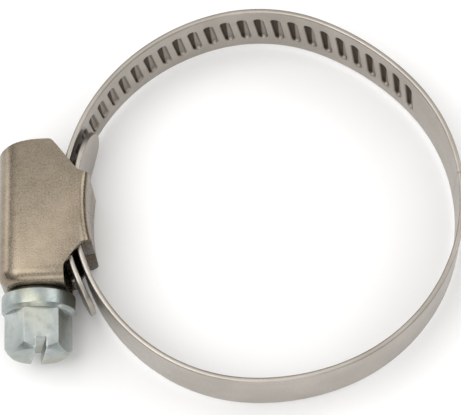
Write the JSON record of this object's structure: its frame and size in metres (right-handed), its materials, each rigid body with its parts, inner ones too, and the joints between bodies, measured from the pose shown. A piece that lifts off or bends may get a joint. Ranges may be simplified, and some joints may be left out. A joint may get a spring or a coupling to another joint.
{
  "type": "worm-drive hose clamp",
  "caption": "Worm-drive hose clamp: a pressed steel band with slanted thread slots, a folded housing and a hexagon-head worm screw that draws the band tight.",
  "frame": {"origin": "centre of the hose bore, halfway across the band's width", "axes": "+Z along the hose bore, the housing at -X, the screw head pointing towards -Y"},
  "size_m": [0.0557, 0.0482, 0.0108],
  "materials": {
    "band_steel": "rolled strip, satin",
    "housing_steel": "pressed sheet, fine satin",
    "screw_zinc": "zinc plated, passivated"
  },
  "bodies": {
    "housing": {"housing": "housing_steel", "band_fixed_end": "band_steel"},
    "screw": {"screw": "screw_zinc"},
    "threaded_end": {"band_threaded_end": "band_steel"},
    "far_arc": {"band_far_arc": "band_steel"},
    "upper_arc": {"band_upper_arc": "band_steel"},
    "near_arc": {"band_near_arc": "band_steel"},
    "right_arc": {"band_right_arc": "band_steel"}
  },
  "joints": [
    {"name": "screw_turn", "type": "hinge", "parent": "housing", "child": "screw", "pos_m": [-0.0284, 0, 0], "axis": [0, 1, 0], "range_deg": [0, 1440]},
    {"name": "band_feed", "type": "hinge", "parent": "housing", "child": "threaded_end", "pos_m": [-0.00065, 0, 0], "axis": [0, 0, 1], "range_deg": [0, 20]},
    {"name": "far_bend", "type": "hinge", "parent": "threaded_end", "child": "far_arc", "pos_m": [-0.00595, 0.02389, 0], "axis": [0, 0, 1], "range_deg": [-3.59, 0]},
    {"name": "upper_bend", "type": "hinge", "parent": "far_arc", "child": "upper_arc", "pos_m": [0.00676, 0.02249, 0], "axis": [0, 0, 1], "range_deg": [-5.73, 0]},
    {"name": "near_bend", "type": "hinge", "parent": "housing", "child": "near_arc", "pos_m": [-0.01391, -0.01894, 0], "axis": [0, 0, 1], "range_deg": [0, 3.5]},
    {"name": "right_bend", "type": "hinge", "parent": "near_arc", "child": "right_arc", "pos_m": [0.00769, -0.02112, 0], "axis": [0, 0, 1], "range_deg": [0, 7.18]}
  ],
  "couplings": [
    {"joint": "band_feed", "follows": "screw_turn", "ratio": 0.013889},
    {"joint": "far_bend", "follows": "screw_turn", "ratio": -0.0024919},
    {"joint": "upper_bend", "follows": "screw_turn", "ratio": -0.0039798},
    {"joint": "near_bend", "follows": "screw_turn", "ratio": 0.0024294},
    {"joint": "right_bend", "follows": "screw_turn", "ratio": 0.0049877}
  ]
}
